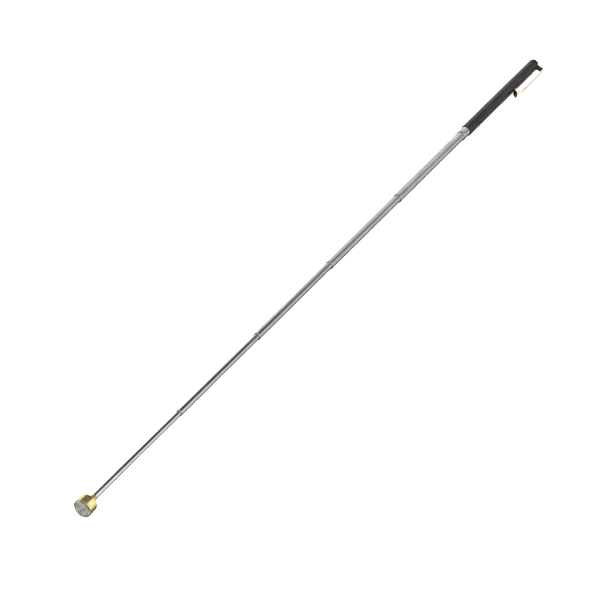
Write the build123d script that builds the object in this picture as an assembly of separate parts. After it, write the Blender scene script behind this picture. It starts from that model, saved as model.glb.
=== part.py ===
from build123d import *
import math
import os

# Telescopic magnetic pick-up tool, in millimetres.
# Row frame: the tool's axis is X. The origin is the centre of the magnet's face, the
# handle is towards +X, and +Z is up for a tool that lies on a table.

# Head
CUP_D = 12.8
CUP_LEN = 8.5
CUP_FRONT_CHAMFER = 0.3
CUP_SHOULDER_LEN = 1.4
CUP_SHOULDER_DROP = 0.5
MAGNET_D = 11.0
MAGNET_LEN = 6.0
MAGNET_CHAMFER = 0.2
NECK_LEN = 6.0
NECK_D_FRONT = 6.0
NECK_D_BACK = 4.5
NECK_CHAMFER = 0.15
SOCKET_DEPTH = 6.4

# Telescopic tubes. Section 1 is the thinnest and carries the head.
SECTIONS = 5
ROD_D = 4.1
D_STEP = 0.72
WALL = 0.2
ROD_VISIBLE = 100.5
SECTION_VISIBLE = 100.0
OVERLAP = 8.5

# Mouth of a tube: a rolled bead outside and a crimped lip inside
BEAD_LEN = 1.1
BEAD_RISE = 0.2
LIP_LEN = 1.0
LIP_CLEARANCE = 0.03

# Foot of a section: a stop ring, a seat for two friction shoes, and a flared end
FOOT_GAP = 0.3
STOP_LEN = 1.1
FLARE_LEN = 0.8
FOOT_CLEARANCE = 0.04
SHOE_CLEARANCE = 0.03
SHOE_END_GAP = 0.1
SHOE_ARC = 168

# Handle
FERRULE_LEN = 8.7
GRIP_D = 8.9
GRIP_LEN = 113.6
GRIP_CHAMFER = 0.25
PLUG_LEN = 13.0
STEM_D = 3.6
STEM_LEN = 10.0
CAP_D = 8.6
CAP_LEN = 3.6
CAP_EDGE_R = 2.6

# Pocket clip: a ring under the end cap, a leg outwards, and a strip along the grip
CLIP_T = 0.5
CLIP_W = 5.0
CLIP_RING_D = 7.8
CLIP_HOLE_D = 3.8
CLIP_STRIP_R = 9.5
CLIP_BEND_R = 1.0
CLIP_KNEE_BACK = 37.5
CLIP_TOE_BACK = 41.5
CLIP_TIP_BACK = 45.5
CLIP_TIP_R = 9.2
CLIP_TOE_GAP = 0.05
CLIP_TOE_CUT = 0.45
CLIP_TIP_CORNER_R = 1.8
CLIP_BELOW_HORIZONTAL = 15.4

# Places along X that follow from the sizes above
HEAD_LEN = CUP_LEN + NECK_LEN
MOUTH_X = [HEAD_LEN + ROD_VISIBLE + SECTION_VISIBLE * i for i in range(SECTIONS)]
GRIP_X = MOUTH_X[-1] + FERRULE_LEN
GRIP_END_X = GRIP_X + GRIP_LEN
CLIP_X = GRIP_END_X + CLIP_T / 2
CAP_X = GRIP_END_X + CLIP_T
BODY_END_X = CAP_X + CAP_LEN

os.makedirs("parts", exist_ok=True)


def tube_radius(number):
    """Outer radius of tube 1 (thinnest) to tube 6 (the outer tube)."""
    return (ROD_D + D_STEP * (number - 1)) / 2


def bore_radius(number):
    """Bore radius of a tube, which is plain from its lip to its end."""
    return tube_radius(number) - WALL


def turned(*edges, arc=360):
    """Solid of revolution about X. The edges are a closed outline in (x, radius)."""
    return revolve(make_face(edges), Axis.X, arc)


def polygon(*points):
    """Closed outline of straight edges through the (x, radius) points."""
    return Polyline(*points, close=True)


def mouth_edges(x, number):
    """Rolled bead, front face and crimped lip of a tube's mouth, from outside to bore."""
    outer = tube_radius(number)
    lip = tube_radius(number - 1) + LIP_CLEARANCE
    face_top = (x, outer - WALL / 2)
    crest = (x + BEAD_LEN / 2, outer + BEAD_RISE)
    return [
        ThreePointArc((x + BEAD_LEN, outer), crest, face_top),
        Polyline(
            face_top,
            (x, lip),
            (x + LIP_LEN, lip),
            (x + LIP_LEN, bore_radius(number)),
        ),
    ]


def foot_points(end_x, number):
    """Flared end, shoe seat and stop ring on the outside of a section's foot."""
    outer = tube_radius(number)
    raised = bore_radius(number + 1) - FOOT_CLEARANCE
    stop_x = end_x - OVERLAP + LIP_LEN + FOOT_GAP
    seat_x = stop_x + STOP_LEN
    flare_x = end_x - FLARE_LEN
    return [
        (end_x, raised),
        (flare_x, raised),
        (flare_x, outer),
        (seat_x, outer),
        (seat_x, raised),
        (stop_x, raised),
        (stop_x, outer),
    ]


def shoe_span(end_x):
    """First and last X of the friction shoes on a section that ends at end_x."""
    first = end_x - OVERLAP + LIP_LEN + FOOT_GAP + STOP_LEN + SHOE_END_GAP
    return first, end_x - FLARE_LEN - SHOE_END_GAP


def foot_end(number):
    """X of the hidden end of section 1 to 5 at full stretch."""
    return MOUTH_X[number - 1] + OVERLAP


def make_magnet():
    radius = MAGNET_D / 2
    return turned(
        polygon(
            (0, 0),
            (0, radius - MAGNET_CHAMFER),
            (MAGNET_CHAMFER, radius),
            (MAGNET_LEN, radius),
            (MAGNET_LEN, 0),
        )
    )


def make_cup():
    radius = CUP_D / 2
    socket_x = HEAD_LEN - SOCKET_DEPTH
    shoulder_start = (CUP_LEN - CUP_SHOULDER_LEN, radius)
    shoulder_end = (CUP_LEN, radius - CUP_SHOULDER_DROP)
    outline = Polyline(
        shoulder_end,
        (CUP_LEN, NECK_D_FRONT / 2),
        (HEAD_LEN - NECK_CHAMFER, NECK_D_BACK / 2),
        (HEAD_LEN, NECK_D_BACK / 2 - NECK_CHAMFER),
        (HEAD_LEN, tube_radius(1)),
        (socket_x, tube_radius(1)),
        (socket_x, 0),
        (MAGNET_LEN, 0),
        (MAGNET_LEN, MAGNET_D / 2),
        (0, MAGNET_D / 2),
        (0, radius - CUP_FRONT_CHAMFER),
        (CUP_FRONT_CHAMFER, radius),
        shoulder_start,
    )
    return turned(outline, TangentArc(shoulder_start, shoulder_end, tangent=(1, 0)))


def make_rod():
    """Section 1: a plain tube that is fixed in the neck's socket."""
    start_x = HEAD_LEN - SOCKET_DEPTH
    end_x = foot_end(1)
    bore = bore_radius(1)
    return turned(
        polygon(
            (start_x, bore),
            (end_x, bore),
            *foot_points(end_x, 1),
            (start_x, tube_radius(1)),
        )
    )


def make_section(number):
    """Sections 2 to 5: a rolled mouth round the thinner tube, and a foot."""
    x = MOUTH_X[number - 2]
    end_x = foot_end(number)
    outside = Polyline(
        (x + LIP_LEN, bore_radius(number)),
        (end_x, bore_radius(number)),
        *foot_points(end_x, number),
        (x + BEAD_LEN, tube_radius(number)),
    )
    return turned(*mouth_edges(x, number), outside)


def make_outer_tube():
    number = SECTIONS + 1
    x = MOUTH_X[-1]
    outside = Polyline(
        (x + LIP_LEN, bore_radius(number)),
        (GRIP_END_X, bore_radius(number)),
        (GRIP_END_X, tube_radius(number)),
        (x + BEAD_LEN, tube_radius(number)),
    )
    return turned(*mouth_edges(x, number), outside)


def make_shoe(number, turn):
    """One of the two half shells that drag in the bore of the next tube."""
    first, last = shoe_span(foot_end(number))
    inner = tube_radius(number) + SHOE_CLEARANCE
    outer = bore_radius(number + 1) - SHOE_CLEARANCE
    outline = polygon((first, inner), (last, inner), (last, outer), (first, outer))
    return Rot(turn, 0, 0) * turned(outline, arc=SHOE_ARC)


def make_grip():
    radius = GRIP_D / 2
    bore = tube_radius(SECTIONS + 1)
    return turned(
        polygon(
            (GRIP_X, bore),
            (GRIP_X, radius - GRIP_CHAMFER),
            (GRIP_X + GRIP_CHAMFER, radius),
            (GRIP_END_X - GRIP_CHAMFER, radius),
            (GRIP_END_X, radius - GRIP_CHAMFER),
            (GRIP_END_X, bore),
        )
    )


def make_plug():
    """Plug in the end of the outer tube, bored for the end cap's stem."""
    start_x = GRIP_END_X - PLUG_LEN
    hole_x = CAP_X - STEM_LEN
    return turned(
        polygon(
            (start_x, 0),
            (start_x, bore_radius(SECTIONS + 1)),
            (GRIP_END_X, bore_radius(SECTIONS + 1)),
            (GRIP_END_X, STEM_D / 2),
            (hole_x, STEM_D / 2),
            (hole_x, 0),
        )
    )


def make_end_cap():
    """Low domed button with a stem that goes through the clip's ring."""
    radius = CAP_D / 2
    round_start = (BODY_END_X - CAP_EDGE_R, radius)
    round_end = (BODY_END_X, radius - CAP_EDGE_R)
    cut = CAP_EDGE_R * (1 - math.sqrt(0.5))
    round_middle = (BODY_END_X - cut, radius - cut)
    back = Polyline(
        round_end,
        (BODY_END_X, 0),
        (CAP_X - STEM_LEN, 0),
        (CAP_X - STEM_LEN, STEM_D / 2),
        (CAP_X, STEM_D / 2),
        (CAP_X, radius),
        round_start,
    )
    return turned(back, ThreePointArc(round_start, round_middle, round_end))


def make_clip():
    """Strip bent out, along the grip, in to touch it, and out again at its tip.
    The toe's bend passes outside its corner, so the corner is that much further in."""
    toe_r = GRIP_D / 2 + CLIP_TOE_GAP + CLIP_T / 2 - CLIP_TOE_CUT
    route = [
        (CLIP_X, CLIP_RING_D / 4),
        (CLIP_X, CLIP_STRIP_R),
        (CLIP_X - CLIP_KNEE_BACK, CLIP_STRIP_R),
        (CLIP_X - CLIP_TOE_BACK, toe_r),
        (CLIP_X - CLIP_TIP_BACK, CLIP_TIP_R),
    ]
    line = FilletPolyline(*route, radius=CLIP_BEND_R)
    side_view = make_face(offset(line, CLIP_T / 2, side=Side.BOTH))
    strip = extrude(side_view, CLIP_W / 2, both=True)

    plan_len = CLIP_TIP_BACK + CAP_D
    plan_x = CLIP_X - CLIP_TIP_BACK - CLIP_T / 2 + plan_len / 2
    plan_face = Plane.XZ * Pos(plan_x, 0) * RectangleRounded(
        plan_len, CLIP_W, CLIP_TIP_CORNER_R
    )
    strip = strip & extrude(plan_face, CLIP_STRIP_R * 2, both=True)

    ring_plane = Plane((GRIP_END_X, 0, 0), z_dir=(1, 0, 0))
    ring = extrude(ring_plane * Circle(CLIP_RING_D / 2), CLIP_T)
    hole = extrude(ring_plane * Circle(CLIP_HOLE_D / 2), CLIP_T)
    return Rot(180 + CLIP_BELOW_HORIZONTAL, 0, 0) * (strip + ring - hole)


def save(shape, node):
    export_step(shape, f"parts/{node}.step")


save(make_magnet(), "magnet")
save(make_cup(), "magnet_cup")
save(make_rod(), "section_1_tube")
for section in range(2, SECTIONS + 1):
    save(make_section(section), f"section_{section}_tube")
for section in range(1, SECTIONS + 1):
    save(make_shoe(section, (180 - SHOE_ARC) / 2), f"friction_shoe_{section}_a")
    save(make_shoe(section, 180 + (180 - SHOE_ARC) / 2), f"friction_shoe_{section}_b")
save(make_outer_tube(), "outer_tube")
save(make_grip(), "grip_sleeve")
save(make_plug(), "end_plug")
save(make_end_cap(), "end_cap")
save(make_clip(), "pocket_clip")
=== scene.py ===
import math

import bmesh
import bpy
import numpy as np
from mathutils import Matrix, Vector


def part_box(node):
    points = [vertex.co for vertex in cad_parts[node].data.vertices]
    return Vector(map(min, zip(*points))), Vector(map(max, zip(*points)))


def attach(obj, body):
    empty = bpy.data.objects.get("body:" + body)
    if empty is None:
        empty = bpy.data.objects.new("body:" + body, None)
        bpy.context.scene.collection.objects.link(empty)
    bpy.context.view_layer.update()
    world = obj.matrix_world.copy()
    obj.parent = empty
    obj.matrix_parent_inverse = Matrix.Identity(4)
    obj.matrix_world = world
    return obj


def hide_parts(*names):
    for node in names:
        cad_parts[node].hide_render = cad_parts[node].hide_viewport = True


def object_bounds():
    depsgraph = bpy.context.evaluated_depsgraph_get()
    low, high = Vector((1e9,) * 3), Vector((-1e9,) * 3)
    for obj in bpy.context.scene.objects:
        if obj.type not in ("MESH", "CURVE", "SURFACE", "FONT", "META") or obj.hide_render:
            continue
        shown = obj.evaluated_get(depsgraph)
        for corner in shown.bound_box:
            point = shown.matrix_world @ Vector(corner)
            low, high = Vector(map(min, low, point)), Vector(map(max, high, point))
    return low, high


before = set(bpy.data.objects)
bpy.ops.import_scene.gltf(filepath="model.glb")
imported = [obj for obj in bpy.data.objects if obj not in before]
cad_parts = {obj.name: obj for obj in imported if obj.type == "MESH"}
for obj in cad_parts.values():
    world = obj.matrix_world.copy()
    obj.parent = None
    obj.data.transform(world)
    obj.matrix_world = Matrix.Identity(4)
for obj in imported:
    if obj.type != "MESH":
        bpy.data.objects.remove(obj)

# A telescopic magnetic pick-up tool. Outlines are in millimetres, (x, radius) about the
# tool's axis, which is the row's X axis. Meshes are made in metres in the row's frame.
cad_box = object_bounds()

MM = 0.001
TURN = 2 * math.pi

# Sizes that the CAD part states and that a node's box doesn't show
SECTIONS = 5
ROD_R = 2.05
R_STEP = 0.36
WALL = 0.2
BEAD_LEN = 1.1
BEAD_RISE = 0.2
LIP_LEN = 1.0
LIP_CLEARANCE = 0.03
FOOT_GAP = 0.3
STOP_LEN = 1.1
FLARE_LEN = 0.8
OVERLAP = 8.5
FOOT_RISE = R_STEP - WALL - 0.04
CUP_LEN = 8.5
SHOULDER_LEN = 1.4
SHOULDER_DROP = 0.5
NECK_FRONT_R = 3.0
NECK_BACK_R = 2.25
NECK_CHAMFER = 0.15
STEM_R = 1.8
CAP_DOME = 2.6
CLIP_T = 0.5
CLIP_W = 5.0
CLIP_HOLE_R = 1.9
CLIP_RING_R = 3.9
CLIP_STRIP_R = 9.5
CLIP_TOE_GAP = 0.05
CLIP_TOE_CUT = 0.45
CLIP_KNEE_BACK = 37.5
CLIP_TOE_BACK = 41.5
CLIP_TIP_BACK = 45.5
CLIP_TIP_R = 9.2
CLIP_BELOW_HORIZONTAL = 15.4

# Details that only the visual pieces have
RIM_LEN = 0.7
RIM_LEAN = math.radians(22)
HOLE_R = 0.5
CLIP_TIP_LEN = 1.5
CLIP_LEG_R = 2.6
KNURL_STARTS = 30
KNURL_SAMPLES = 6
KNURL_PITCH = 1.6
KNURL_ROWS_PER_PITCH = 7
KNURL_DEPTH = 0.13
KNURL_LAND = 1.4

SEGMENTS = 128
TENT_SEGMENTS = 64
BRACE = 0.12
SHARP_DEG = 32
KNURL_SHARP_DEG = 60
ON_AXIS = 1e-6


def box_mm(node):
    """Lowest and highest corner of a CAD node in millimetres."""
    low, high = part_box(node)
    return low / MM, high / MM


# ---------------------------------------------------------------- mesh helpers


def soften(points, steps=5):
    """Rounds the corners that state a radius: a point is (x, r) or (x, r, radius)."""
    out = []
    for i, point in enumerate(points):
        corner = np.array(point[:2], float)
        radius = point[2] if len(point) > 2 else 0
        if not radius:
            out.append(tuple(corner))
            continue
        before = np.array(points[i - 1][:2], float) - corner
        after = np.array(points[(i + 1) % len(points)][:2], float) - corner
        len_before, len_after = np.linalg.norm(before), np.linalg.norm(after)
        before, after = before / len_before, after / len_after
        half = math.acos(np.clip(before @ after, -1, 1)) / 2
        reach = min(radius / math.tan(half), 0.49 * len_before, 0.49 * len_after)
        start, end = corner + before * reach, corner + after * reach
        for step in range(steps + 1):
            t = step / steps
            spot = (1 - t) ** 2 * start + 2 * t * (1 - t) * corner + t * t * end
            out.append(tuple(spot))
    return out


def arc(start, end, rise, steps=10):
    """Points from start to end along X that bulge outwards by rise."""
    points = []
    for step in range(steps + 1):
        t = step / steps
        x = start[0] + (end[0] - start[0]) * t
        r = start[1] + (end[1] - start[1]) * t + rise * math.sin(math.pi * t)
        points.append((x, r))
    return points


def braced(outline, closed):
    """Adds a point close to each end of every long straight stretch, so that the stretch
    is shaded straight and only its last bit bends into the next one."""
    out = []
    ends = outline[1:] + outline[:1] if closed else outline[1:]
    for start, end in zip(outline, ends):
        out.append(start)
        a, b = np.array(start[:2], float), np.array(end[:2], float)
        length = np.linalg.norm(b - a)
        if length > 6 * BRACE:
            inwards = (b - a) * BRACE / length
            out += [tuple(a + inwards), tuple(b - inwards)]
    return out if closed else out + [outline[-1]]


def lathe(outline, segments=SEGMENTS):
    """Vertices and faces of a solid turned about X from an outline in millimetres.
    An outline that starts and ends on the axis is open there; any other is a loop."""
    verts, faces, rings = [], [], []
    outline = braced(outline, closed=outline[0][1] > ON_AXIS)
    for x, r in outline:
        count = 1 if r < ON_AXIS else segments
        rings.append((len(verts), count))
        for k in range(count):
            a = TURN * k / segments
            verts.append((x * MM, r * MM * math.cos(a), r * MM * math.sin(a)))
    on_axis = rings[0][1] == 1
    pairs = zip(rings[:-1], rings[1:]) if on_axis else zip(rings, rings[1:] + rings[:1])
    for (a0, na), (b0, nb) in pairs:
        for k in range(segments):
            j = (k + 1) % segments
            face = [a0 + k % na, a0 + j % na, b0 + j % nb, b0 + k % nb]
            face = [v for i, v in enumerate(face) if v not in face[:i]]
            if len(face) > 2:
                faces.append(face)
    return verts, faces


def piece(name, mesh_data, body, material, nodes, sharp_deg=SHARP_DEG):
    """Makes the object, shades it smooth between sharp edges, and puts it on its body."""
    verts, faces = mesh_data
    mesh = bpy.data.meshes.new(name)
    mesh.from_pydata(verts, [], faces)
    edit = bmesh.new()
    edit.from_mesh(mesh)
    bmesh.ops.recalc_face_normals(edit, faces=edit.faces)
    edit.to_mesh(mesh)
    edit.free()
    mesh.shade_smooth()
    mesh.set_sharp_from_angle(angle=math.radians(sharp_deg))
    mesh.materials.append(material)
    obj = bpy.data.objects.new(name, mesh)
    bpy.context.scene.collection.objects.link(obj)
    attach(obj, body)
    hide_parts(*nodes)
    return obj


# ------------------------------------------------------------------- materials


class Nodes:
    """Short names for the shader nodes used here, all in one tree. Where a value is asked
    for, it is a number or another node's output."""

    def __init__(self, tree):
        self.tree = tree

    def add(self, kind, **settings):
        node = self.tree.nodes.new(kind)
        for key, value in settings.items():
            setattr(node, key, value)
        return node

    def feed(self, socket, value):
        """Sets a socket to a number, or links it to another node's output."""
        if isinstance(value, bpy.types.NodeSocket):
            self.tree.links.new(value, socket)
        else:
            socket.default_value = value

    def math(self, operation, *values):
        node = self.add("ShaderNodeMath", operation=operation)
        for socket, value in zip(node.inputs, values):
            self.feed(socket, value)
        return node.outputs["Value"]

    def total(self, first, *others):
        for other in others:
            first = self.math("ADD", first, other)
        return first

    def product(self, first, *others):
        for other in others:
            first = self.math("MULTIPLY", first, other)
        return first

    def spread(self, value, low, high, out_low, out_high, shape="SMOOTHSTEP"):
        """Maps low..high of a value to out_low..out_high, clamped at both ends."""
        node = self.add("ShaderNodeMapRange", interpolation_type=shape)
        for name, entry in (("Value", value), ("From Min", low), ("From Max", high),
                            ("To Min", out_low), ("To Max", out_high)):
            self.feed(node.inputs[name], entry)
        return node.outputs["Result"]

    def place(self):
        """Object coordinates in metres."""
        return self.add("ShaderNodeTexCoord").outputs["Object"]

    def split(self, vector):
        node = self.add("ShaderNodeSeparateXYZ")
        self.feed(node.inputs[0], vector)
        return node.outputs


class Look(Nodes):
    """A Principled material with short names for what the looks below need."""

    def __init__(self, name, color, metallic, roughness, **sockets):
        self.material = bpy.data.materials.new(name)
        self.material.use_nodes = True
        super().__init__(self.material.node_tree)
        self.shader = self.tree.nodes["Principled BSDF"]
        self.shader.inputs["Base Color"].default_value = (*color, 1)
        self.shader.inputs["Metallic"].default_value = metallic
        self.shader.inputs["Roughness"].default_value = roughness
        for socket, value in sockets.items():
            self.shader.inputs[socket.replace("_", " ")].default_value = value
        self.coord = self.place()

    def noise(self, scale, detail=3, roughness=0.55):
        """Noise with a scale for each axis, in cycles per metre."""
        space = self.add("ShaderNodeMapping")
        space.inputs["Scale"].default_value = scale
        self.feed(space.inputs["Vector"], self.coord)
        node = self.add("ShaderNodeTexNoise")
        node.inputs["Scale"].default_value = 1
        node.inputs["Detail"].default_value = detail
        node.inputs["Roughness"].default_value = roughness
        self.feed(node.inputs["Vector"], space.outputs["Vector"])
        return node.outputs["Fac"]

    def mix(self, factor, low_color, high_color):
        """Goes from low_color to high_color as factor goes 0 to 1."""
        node = self.add("ShaderNodeMix", data_type="RGBA")
        for socket, color in zip((node.inputs[6], node.inputs[7]), (low_color, high_color)):
            self.feed(socket, (*color, 1) if isinstance(color, tuple) else color)
        self.feed(node.inputs[0], factor)
        return node.outputs[2]

    def color(self, value):
        self.feed(self.shader.inputs["Base Color"], value)

    def tint(self, factor, low_color, high_color):
        """Base colour that goes from low_color to high_color as factor goes 0 to 1."""
        self.color(self.mix(factor, low_color, high_color))

    def rough(self, value):
        self.feed(self.shader.inputs["Roughness"], value)

    def metal(self, value):
        self.feed(self.shader.inputs["Metallic"], value)

    def bump(self, height, depth_mm, strength=1.0):
        node = self.add("ShaderNodeBump")
        node.inputs["Strength"].default_value = strength
        node.inputs["Distance"].default_value = depth_mm * MM
        self.feed(node.inputs["Height"], height)
        self.feed(self.shader.inputs["Normal"], node.outputs["Normal"])


def gray(level):
    return (level, level, level)


def chrome_look():
    """Bright chrome on drawn tube: fine lines along the tube, handling smears."""
    look = Look("chromed_tube", (0.69, 0.695, 0.71), 1, 0.12)
    drawn = look.noise((25, 5200, 5200), 2)
    smears = look.noise((90, 260, 260), 4)
    pores = look.noise((2500, 2500, 2500), 2)
    look.tint(look.spread(smears, 0.35, 0.7, 0, 1),
              (0.635, 0.64, 0.66), (0.73, 0.735, 0.752))
    look.rough(look.total(look.spread(drawn, 0.35, 0.7, 0.06, 0.14),
                          look.spread(smears, 0.45, 0.75, 0, 0.06)))
    look.bump(look.total(drawn, look.product(pores, 0.3)), 0.002, 0.35)
    return look.material


def brass_look():
    """Turned and polished brass: rings round the axis, a little warm tarnish."""
    look = Look("polished_brass", (0.92, 0.77, 0.34), 1, 0.14)
    rings = look.noise((4200, 60, 60), 3)
    tarnish = look.noise((260, 260, 260), 4)
    look.tint(look.spread(tarnish, 0.35, 0.72, 0, 1),
              (0.95, 0.81, 0.39), (0.87, 0.67, 0.26))
    look.rough(look.total(look.spread(rings, 0.3, 0.7, 0.10, 0.20),
                          look.spread(tarnish, 0.5, 0.8, 0, 0.08)))
    look.bump(rings, 0.006, 0.5)
    return look.material


def magnet_look():
    """Nickel-plated magnet with a ground face, scratched by the steel it picks up."""
    look = Look("magnet_nickel", gray(0.55), 1, 0.34)
    ground = look.noise((900, 900, 5200), 4, 0.65)
    scratches = look.noise((700, 7000, 420), 2)
    stains = look.noise((330, 330, 330), 4)
    look.tint(look.spread(stains, 0.40, 0.62, 0, 1),
              (0.70, 0.68, 0.685), (0.45, 0.435, 0.44))
    look.rough(look.total(look.spread(ground, 0.3, 0.7, 0.26, 0.42),
                          look.spread(scratches, 0.6, 0.72, 0, 0.10)))
    look.bump(look.total(ground, scratches), 0.010, 0.5)
    return look.material


def grip_look():
    """Matte black sleeve: a little lighter where hands have worn it, and finely grained."""
    look = Look("black_grip", (0.030, 0.030, 0.031), 0, 0.5, Specular_IOR_Level=0.5)
    grain = look.noise((5200, 5200, 5200), 3)
    wear = look.noise((70, 240, 240), 4)
    look.tint(look.spread(wear, 0.4, 0.75, 0, 1),
              (0.0025, 0.0025, 0.0026), (0.0067, 0.0067, 0.0069))
    look.rough(look.total(look.spread(grain, 0.3, 0.7, 0.40, 0.52),
                          look.spread(wear, 0.45, 0.75, 0, -0.08)))
    look.bump(grain, 0.012, 0.6)
    return look.material


def cap_look():
    """Satin black button with fine turning marks, rubbed in patches."""
    look = Look("black_cap", (0.025, 0.025, 0.026), 0, 0.35, Specular_IOR_Level=0.5)
    rings = look.noise((3000, 120, 120), 3)
    rubbed = look.noise((420, 420, 420), 4)
    look.tint(look.spread(rubbed, 0.4, 0.75, 0, 1),
              (0.0033, 0.0033, 0.0034), (0.0083, 0.0083, 0.0085))
    look.rough(look.total(look.spread(rings, 0.3, 0.7, 0.28, 0.38),
                          look.spread(rubbed, 0.45, 0.75, 0, 0.1)))
    look.bump(rings, 0.006, 0.4)
    return look.material


def clip_look():
    """Brass-plated spring strip: rolled along its length, rubbed satin where it bends in to
    the grip, and painted dark brown past the toe as painted shade."""
    look = Look("clip_brass", (0.86, 0.74, 0.48), 0.9, 0.16)
    rolled = look.noise((60, 5200, 5200), 4)
    thin = look.noise((300, 500, 500), 4)
    ragged = look.total(look.split(look.coord)["X"], look.product(thin, 1.2 * MM))
    toe_x = box_mm("pocket_clip")[1].x - CLIP_TOE_BACK
    tip = look.spread(ragged, (toe_x - 0.4) * MM, (toe_x + 0.9) * MM, 1, 0)
    knee = look.spread(ragged, (toe_x + 4.2) * MM, (toe_x + 6.4) * MM, 1, 0)
    rubbed = look.math("SUBTRACT", knee, tip)
    plating = look.mix(look.spread(thin, 0.4, 0.75, 0, 1),
                       (0.90, 0.82, 0.64), (0.74, 0.62, 0.42))
    # Painted shade: past the toe the base colour goes to a dark brown, which stands in for
    # a dark reflection.
    look.color(look.mix(tip, plating, (0.20, 0.13, 0.09)))
    look.rough(look.total(look.spread(rolled, 0.3, 0.7, 0.10, 0.20),
                          look.product(rubbed, 0.3)))
    look.metal(look.spread(rubbed, 0, 1, 1, 0.62))
    look.bump(rolled, 0.005, 0.4)
    return look.material


def bronze_look():
    """Dull spring bronze of the hidden friction shoes, scored along the slide."""
    look = Look("spring_bronze", (0.60, 0.40, 0.22), 1, 0.4)
    scored = look.noise((120, 7000, 7000), 3)
    stain = look.noise((700, 700, 700), 4)
    look.tint(look.spread(stain, 0.35, 0.7, 0, 1), (0.64, 0.44, 0.25), (0.42, 0.27, 0.15))
    look.rough(look.spread(scored, 0.3, 0.7, 0.3, 0.48))
    look.bump(scored, 0.004, 0.5)
    return look.material


def plug_look():
    """Turned free-cutting steel of the plug inside the handle."""
    look = Look("plug_steel", gray(0.50), 1, 0.35)
    rings = look.noise((2600, 80, 80), 3)
    stain = look.noise((300, 300, 300), 4)
    look.tint(look.spread(stain, 0.35, 0.7, 0, 1), gray(0.54), (0.36, 0.35, 0.34))
    look.rough(look.spread(rings, 0.3, 0.7, 0.25, 0.45))
    look.bump(rings, 0.006, 0.5)
    return look.material


CHROME = chrome_look()
BRASS = brass_look()
MAGNET = magnet_look()
GRIP = grip_look()
CAP = cap_look()
CLIP = clip_look()
BRONZE = bronze_look()
PLUG = plug_look()


# ----------------------------------------------------------------------- pieces


def tube_radius(number):
    return ROD_R + R_STEP * (number - 1)


def bore_radius(number):
    return tube_radius(number) - WALL


def make_magnet():
    high = box_mm("magnet")[1]
    radius, depth = high.y, high.x
    outline = soften([
        (0, 0),
        (0, radius - 0.18, 0.08),
        (0.18, radius, 0.08),
        (depth, radius),
        (depth, 0),
    ])
    piece("magnet_disc", lathe(outline), "section_1", MAGNET,
          ["magnet"])


def make_cup():
    magnet, cup = box_mm("magnet")[1], box_mm("magnet_cup")[1]
    pocket_r, pocket_x = magnet.y, magnet.x
    radius, end = cup.y, cup.x
    socket_x = box_mm("section_1_tube")[0].x
    shoulder = [
        (CUP_LEN - SHOULDER_LEN * (1 - math.sin(a)),
         radius - SHOULDER_DROP * (1 - math.cos(a)))
        for a in np.linspace(0, math.pi / 2, 12)[:-1]
    ]
    lean_cos, lean_sin = math.cos(RIM_LEAN), math.sin(RIM_LEAN)
    rim = [
        (RIM_LEN * (lean_cos - math.cos(a)) / lean_cos,
         pocket_r + (radius - pocket_r) * (math.sin(a) - lean_sin) / (1 - lean_sin))
        for a in np.linspace(RIM_LEAN, math.pi / 2, 14)
    ]
    outline = soften([
        *rim,
        *shoulder,
        (CUP_LEN, radius - SHOULDER_DROP - 0.06, 0.05),
        (CUP_LEN, NECK_FRONT_R + 0.02, 0.25),
        (end - NECK_CHAMFER, NECK_BACK_R, 0.1),
        (end, ROD_R + 0.05),
        (end, ROD_R),
        (socket_x, ROD_R),
        (socket_x, HOLE_R),
        (pocket_x, HOLE_R),
        (pocket_x, pocket_r),
    ])
    piece("magnet_cup_brass", lathe(outline), "section_1", BRASS,
          ["magnet_cup"])


def foot_outline(end_x, number):
    """Outside of a section's foot, from its end forwards: flare, shoe seat, stop ring."""
    outer = tube_radius(number)
    raised = outer + FOOT_RISE
    stop_x = end_x - OVERLAP + LIP_LEN + FOOT_GAP
    return [
        (end_x, raised, 0.05),
        (end_x - FLARE_LEN, raised, 0.05),
        (end_x - FLARE_LEN - 0.05, outer),
        (stop_x + STOP_LEN, outer),
        (stop_x + STOP_LEN - 0.05, raised, 0.05),
        (stop_x + 0.05, raised, 0.05),
        (stop_x, outer),
    ]


def mouth_outline(x, number):
    """Mouth of a tube from outside to bore: rolled bead, face and crimped lip."""
    outer = tube_radius(number)
    lip = tube_radius(number - 1) + LIP_CLEARANCE
    bead = arc((x + BEAD_LEN, outer), (x + 0.04, outer - 0.12), BEAD_RISE + 0.045)
    return bead + [
        (x, outer - 0.18),
        (x, lip + 0.04),
        (x + 0.04, lip),
        (x + LIP_LEN - 0.2, lip),
        (x + LIP_LEN, bore_radius(number)),
    ]


def make_rod():
    low, high = box_mm("section_1_tube")
    bore = bore_radius(1)
    outline = soften([(low.x, bore), (high.x, bore),
                      *foot_outline(high.x, 1), (low.x, ROD_R)])
    piece("section_1_rod", lathe(outline), "section_1", CHROME,
          ["section_1_tube"])


def make_section(number):
    node = f"section_{number}_tube"
    low, high = box_mm(node)
    outline = mouth_outline(low.x, number)
    foot = [(high.x, bore_radius(number)), *foot_outline(high.x, number), outline[0]]
    outline += soften(foot)[:-1]
    piece(f"section_{number}_shell", lathe(outline), f"section_{number}",
          CHROME, [node])


def make_outer_tube():
    number = SECTIONS + 1
    low, high = box_mm("outer_tube")
    outline = mouth_outline(low.x, number)
    outline += [(high.x, bore_radius(number)), (high.x, tube_radius(number))]
    piece("outer_tube_shell", lathe(outline), "handle", CHROME,
          ["outer_tube"])


def knurl_depth(x, angle):
    """Depth below the outer surface of a diamond knurl: two crossed sets of cuts."""
    turn = KNURL_STARTS * angle
    along = TURN * x / KNURL_PITCH
    cut = 0.25 * (2 - np.cos(turn + along) - np.cos(turn - along))
    return KNURL_DEPTH * cut


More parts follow.
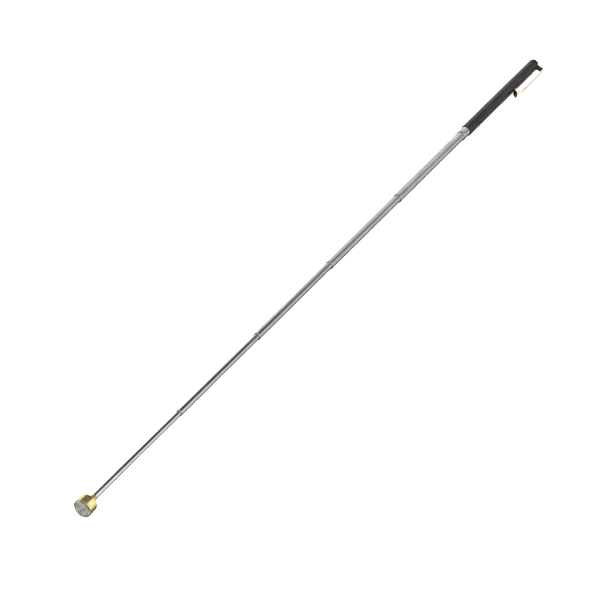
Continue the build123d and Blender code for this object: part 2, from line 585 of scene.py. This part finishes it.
def make_grip():
    low, high = box_mm("grip_sleeve")
    radius, bore = high.y, tube_radius(SECTIONS + 1)
    around = KNURL_STARTS * KNURL_SAMPLES
    first, last = low.x + KNURL_LAND, high.x - KNURL_LAND
    rows = round((last - first) / KNURL_PITCH * KNURL_ROWS_PER_PITCH)
    front = soften([(low.x, bore), (low.x, radius - 0.22, 0.08),
                    (low.x + 0.25, radius, 0.12),
                    (first - 0.15, radius), (first, radius - KNURL_DEPTH)])
    back = soften([(last, radius - KNURL_DEPTH), (last + 0.15, radius),
                   (high.x - 0.25, radius, 0.12), (high.x, radius - 0.22, 0.08),
                   (high.x, bore)])
    knurled = [(x, radius) for x in np.linspace(first, last, rows + 2)[1:-1]]
    outline = front + knurled + back
    verts, faces = lathe(outline, around)
    for i, (x, y, z) in enumerate(verts):
        outside = math.hypot(y, z) / MM > radius - 0.01
        if outside and knurled[0][0] <= x / MM <= knurled[-1][0]:
            angle = math.atan2(z, y)
            r = (radius - knurl_depth(x / MM, angle)) * MM
            verts[i] = (x, r * math.cos(angle), r * math.sin(angle))
    piece("grip_knurled", (verts, faces), "handle", GRIP,
          ["grip_sleeve"], sharp_deg=KNURL_SHARP_DEG)


def make_end_cap():
    low, high = box_mm("end_cap")
    radius = high.y
    face_x = box_mm("pocket_clip")[1].x
    dome = [
        (high.x - CAP_DOME * (1 - math.sin(a)), radius - CAP_DOME * (1 - math.cos(a)))
        for a in np.linspace(math.pi / 2, 0, 14)
    ]
    outline = soften([
        (high.x, 0),
        (high.x - 0.03, 0.9, 0.5),
        *dome,
        (face_x + 0.12, radius, 0.08),
        (face_x, radius - 0.12, 0.05),
        (face_x, STEM_R),
        (low.x, STEM_R, 0.2),
        (low.x, 0),
    ])
    piece("end_cap_button", lathe(outline), "handle", CAP, ["end_cap"])


def clip_space(x, r, w):
    """Row position in metres of a point in the clip's own plane and width."""
    a = math.radians(180 + CLIP_BELOW_HORIZONTAL)
    return (x * MM,
            (r * math.cos(a) - w * math.sin(a)) * MM,
            (r * math.sin(a) + w * math.cos(a)) * MM)


def clip_section(steps=3, corner=0.14):
    """Strip's cross-section as (across thickness, across width), with rounded corners."""
    half_t, half_w = CLIP_T / 2, CLIP_W / 2
    points = []
    for quadrant, (st, sw) in enumerate(((1, 1), (1, -1), (-1, -1), (-1, 1))):
        for step in range(steps + 1):
            a = math.pi / 2 * step / steps
            ct, cw = math.sin(a), math.cos(a)
            if quadrant % 2:
                ct, cw = cw, ct
            points.append((st * (half_t - corner + corner * ct),
                           sw * (half_w - corner + corner * cw)))
    return points


def clip_route():
    """Middle line of the strip in (x, radius), with its bends rounded."""
    x = box_mm("pocket_clip")[1].x - CLIP_T / 2
    toe_r = box_mm("grip_sleeve")[1].y + CLIP_TOE_GAP + CLIP_T / 2 - CLIP_TOE_CUT
    corners = soften([
        (x, CLIP_LEG_R),
        (x, CLIP_STRIP_R, 1.0),
        (x - CLIP_KNEE_BACK, CLIP_STRIP_R, 1.6),
        (x - CLIP_TOE_BACK, toe_r, 1.25),
        (x - CLIP_TIP_BACK, CLIP_TIP_R),
    ], steps=8)
    return [np.array(c) for c in corners]


def make_clip():
    """Strip swept along its route, with a round tip, and joined to its ring."""
    route = clip_route()
    end = route.pop()
    along = (end - route[-1]) / np.linalg.norm(end - route[-1])
    widths = [1.0] * len(route)
    for a in np.linspace(0, math.pi / 2, 8):
        route.append(end - along * CLIP_TIP_LEN * (1 - math.sin(a)))
        widths.append(max(math.cos(a), 0.18))
    section = clip_section()
    verts, faces = [], []
    for i, point in enumerate(route):
        ahead = route[min(i + 1, len(route) - 1)] - route[max(i - 1, 0)]
        ahead /= np.linalg.norm(ahead)
        normal = np.array((-ahead[1], ahead[0]))
        for t, w in section:
            spot = point + normal * t
            verts.append(clip_space(spot[0], spot[1], w * widths[i]))
    count = len(section)
    for i in range(len(route) - 1):
        for k in range(count):
            j = (k + 1) % count
            here, ahead = i * count, (i + 1) * count
            faces.append([here + k, here + j, ahead + j, ahead + k])
    faces.append(list(range(count)))
    faces.append([(len(route) - 1) * count + k for k in reversed(range(count))])
    clip = piece("pocket_clip_strip", (verts, faces), "handle", CLIP,
                 ["pocket_clip"])
    join_ring(clip)


def join_ring(clip):
    """Adds the ring that the end cap traps to the strip's leg."""
    inset = 0.02
    back = box_mm("pocket_clip")[1].x - inset
    front = back - CLIP_T + 2 * inset
    verts, faces = lathe([(front, CLIP_HOLE_R), (front, CLIP_RING_R),
                          (back, CLIP_RING_R), (back, CLIP_HOLE_R)])
    mesh = bpy.data.meshes.new("clip_ring")
    mesh.from_pydata(verts, [], faces)
    ring = bpy.data.objects.new("clip_ring", mesh)
    bpy.context.scene.collection.objects.link(ring)
    union = clip.modifiers.new("ring", "BOOLEAN")
    union.operation = "UNION"
    union.solver = "EXACT"
    union.object = ring
    bpy.context.view_layer.update()
    solved = bpy.data.meshes.new_from_object(
        clip.evaluated_get(bpy.context.evaluated_depsgraph_get()))
    clip.modifiers.clear()
    clip.data = solved
    bpy.data.objects.remove(ring)
    clip.data.materials.clear()
    clip.data.materials.append(CLIP)
    clip.data.shade_smooth()
    clip.data.set_sharp_from_angle(angle=math.radians(SHARP_DEG))


def dress_hidden_nodes():
    """The shoes and the plug stay as CAD made them, with their own finishes."""
    for name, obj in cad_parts.items():
        if name.startswith("friction_shoe") or name == "end_plug":
            obj.data.materials.clear()
            obj.data.materials.append(PLUG if name == "end_plug" else BRONZE)


make_magnet()
make_cup()
make_rod()
for number in range(2, SECTIONS + 1):
    make_section(number)
make_outer_tube()
make_grip()
make_end_cap()
make_clip()
dress_hidden_nodes()


# ----------------------------------------------------------------- stage, light


VIEW_AZIMUTH = -59.85
VIEW_ELEVATION = 35.0
VIEW_DISTANCE = 2.0523
VIEW_LENS = 177.0
AIM_ALONG = 0.4213
AIM_OFFSET = (-0.0023, -0.0017)


def make_camera():
    """Camera at the photograph's angle, aimed at a point on the tool's axis."""
    low, high = cad_box
    a, e = math.radians(VIEW_AZIMUTH), math.radians(VIEW_ELEVATION)
    back = Vector((math.sin(a) * math.cos(e), -math.cos(a) * math.cos(e), math.sin(e)))
    aim = Vector((low.x + (high.x - low.x) * AIM_ALONG, *AIM_OFFSET))
    camera = bpy.data.objects.new("camera", bpy.data.cameras.new("camera"))
    camera.data.lens = VIEW_LENS
    camera.data.sensor_width = 36
    camera.data.clip_end = 50
    camera.location = aim + back * VIEW_DISTANCE
    camera.rotation_euler = back.to_track_quat("Z", "Y").to_euler()
    bpy.context.scene.collection.objects.link(camera)
    bpy.context.scene.camera = camera


def emission(name, build):
    """Glowing material whose strength is what build makes from the tree's Nodes."""
    material = bpy.data.materials.new(name)
    material.use_nodes = True
    tree = material.node_tree
    tree.nodes.clear()
    out = tree.nodes.new("ShaderNodeOutputMaterial")
    glow = tree.nodes.new("ShaderNodeEmission")
    tree.links.new(glow.outputs[0], out.inputs[0])
    tree.links.new(build(Nodes(tree)), glow.inputs["Strength"])
    return material


TENT_R = 0.5
TENT_FROM_X = -1.2
TENT_TO_X = 2.4
CAMERA_SIDE_DEG = 35.65

# Places along the tent, in metres, between which its light changes. The camera sees the
# magnet reflect the first ones, then the bead fronts, the head, the sections in order,
# the ferrule and the grip, and the backs of the beads and the cup the last one
MAGNET_PATCH = (-0.72, -0.62, -0.36, -0.26)
FRONTS_END = (0.30, 0.39)
HEAD_ENDS = (0.41, 0.45)
ROD_TO_FERRULE = (0.49, 1.12)
FRONT_DIMS = (0.46, 0.74)
UPPER_DIMS = (0.58, 0.76)
STRIPE_PALES = (0.60, 0.92)
STRIPE_DARKENS = (1.0, 1.12)
GRIP_UPPER_STARTS = (1.11, 1.19)
GRIP_EDGE_STARTS = (1.14, 1.2)
BACKS_START = (1.34, 1.42)

# Angles round the tent, in degrees from the camera's side, positive towards the table
BEHIND_ENDS = (-158, -138)
UPPER_TO_FRONT = (-100, -30)
SHADE_STARTS = (56, 98)
FACING_ENDS = (40, 75)
BACKS_LIT = (-8, 8)
BACKS_UNLIT = (80, 110)


def tent_light(nodes):
    """Brightness of the light tent by the angle round the tool and the place along it:
    pale, with one dark stripe that slants and thins towards the handle, a dim side near the
    table, and a dark end with one grey patch that the magnet's face reflects."""
    smooth, total, product = nodes.spread, nodes.total, nodes.product
    x, y, z = nodes.split(nodes.place())
    turned = product(nodes.math("ARCTAN2", product(y, -1), z), 180 / math.pi)
    angle = nodes.math("WRAP", nodes.math("SUBTRACT", turned, CAMERA_SIDE_DEG), 180, -180)

    def along(by_rod, by_ferrule):
        """Linear change from what the rod reflects to what the ferrule reflects."""
        return smooth(x, *ROD_TO_FERRULE, by_rod, by_ferrule, "LINEAR")

    def stripe(centre, half, soft, level):
        """Level inside a band of angles and 1 outside, over a soft edge."""
        away = nodes.math("ABSOLUTE", nodes.math("SUBTRACT", angle, centre))
        past = nodes.math("DIVIDE", nodes.math("SUBTRACT", away, half), soft)
        return smooth(past, -1, 1, level, 1)

    front = total(smooth(x, *FRONT_DIMS, 1.05, 0.67), smooth(x, *HEAD_ENDS, 0.30, 0))
    upper = total(smooth(x, *UPPER_DIMS, 1.0, 0.74), smooth(x, *GRIP_UPPER_STARTS, 0, 3.4))
    stripe_level = total(smooth(x, *STRIPE_PALES, 0.08, 0.36),
                         smooth(x, *HEAD_ENDS, 0.06, 0),
                         smooth(x, *STRIPE_DARKENS, 0, -0.14))
    by_head = smooth(x, *HEAD_ENDS, 0.2, 0)
    shade_level = total(along(0.32, 0.68), by_head)
    edge_level = total(along(0.06, 0.42), by_head, smooth(x, *GRIP_EDGE_STARTS, 0, 1.6))
    side = product(
        smooth(angle, *UPPER_TO_FRONT, upper, front),
        stripe(along(-46, 15), along(47, 12), along(14, 26), stripe_level),
        smooth(angle, *SHADE_STARTS, 1, shade_level),
        smooth(angle, along(84, 88), along(110, 120), 1, edge_level),
        smooth(angle, *BEHIND_ENDS, 0.12, 1))

    facing = smooth(nodes.math("ABSOLUTE", angle), *FACING_ENDS, 0.42, 0.04)
    patch = product(smooth(x, *MAGNET_PATCH[:2], 0, 1), smooth(x, *MAGNET_PATCH[2:], 1, 0))
    below = smooth(patch, 0, 1, facing, 0.88)
    above = product(smooth(angle, *BACKS_LIT, 0.05, 1.9),
                    smooth(angle, *BACKS_UNLIT, 1, 0.1))
    return smooth(x, *BACKS_START, smooth(x, *FRONTS_END, below, side), above)


def make_tent():
    """A tube of light round the tool that only reflections see."""
    outline = [(TENT_FROM_X / MM, 0), (TENT_FROM_X / MM, TENT_R / MM),
               (TENT_TO_X / MM, TENT_R / MM), (TENT_TO_X / MM, 0)]
    verts, faces = lathe(outline, TENT_SEGMENTS)
    mesh = bpy.data.meshes.new("light_tent")
    mesh.from_pydata(verts, [], faces)
    mesh.materials.append(emission("tent_light", tent_light))
    tent = bpy.data.objects.new("light_tent", mesh)
    for ray in ("camera", "diffuse", "transmission", "volume_scatter", "shadow"):
        setattr(tent, f"visible_{ray}", False)
    bpy.context.scene.collection.objects.link(tent)


def make_floor():
    """Plain pale floor just under the tool's lowest point."""
    low, high = cad_box
    half, gap = 6.0, 0.0002
    z = low.z - gap
    mid = (low.x + high.x) / 2
    mesh = bpy.data.meshes.new("floor")
    mesh.from_pydata([(mid - half, -half, z), (mid + half, -half, z),
                      (mid + half, half, z), (mid - half, half, z)], [], [[0, 1, 2, 3]])
    look = Look("pale_floor", (0.93, 0.93, 0.93), 0, 0.9)
    mesh.materials.append(look.material)
    floor = bpy.data.objects.new("floor", mesh)
    floor.visible_glossy = False
    bpy.context.scene.collection.objects.link(floor)


def make_light(name, location, size, power, aim):
    data = bpy.data.lights.new(name, "AREA")
    data.shape = "DISK"
    data.size = size
    data.energy = power
    lamp = bpy.data.objects.new(name, data)
    lamp.location = location
    back = Vector(location) - Vector(aim)
    lamp.rotation_euler = back.to_track_quat("Z", "Y").to_euler()
    lamp.visible_glossy = False
    bpy.context.scene.collection.objects.link(lamp)


def make_world():
    world = bpy.data.worlds.new("studio")
    world.use_nodes = True
    world.node_tree.nodes["Background"].inputs["Color"].default_value = (1, 1, 1, 1)
    world.node_tree.nodes["Background"].inputs["Strength"].default_value = 3.6
    bpy.context.scene.world = world


make_camera()
make_tent()
make_floor()
make_light("key_light", (-0.6, 1.2, 2.2), 2.0, 20, (0.32, 0, 0))
make_light("fill_light", (0.9, -1.6, 1.8), 2.0, 14, (0.32, 0, 0))
make_world()
bpy.context.scene.view_settings.view_transform = "Standard"
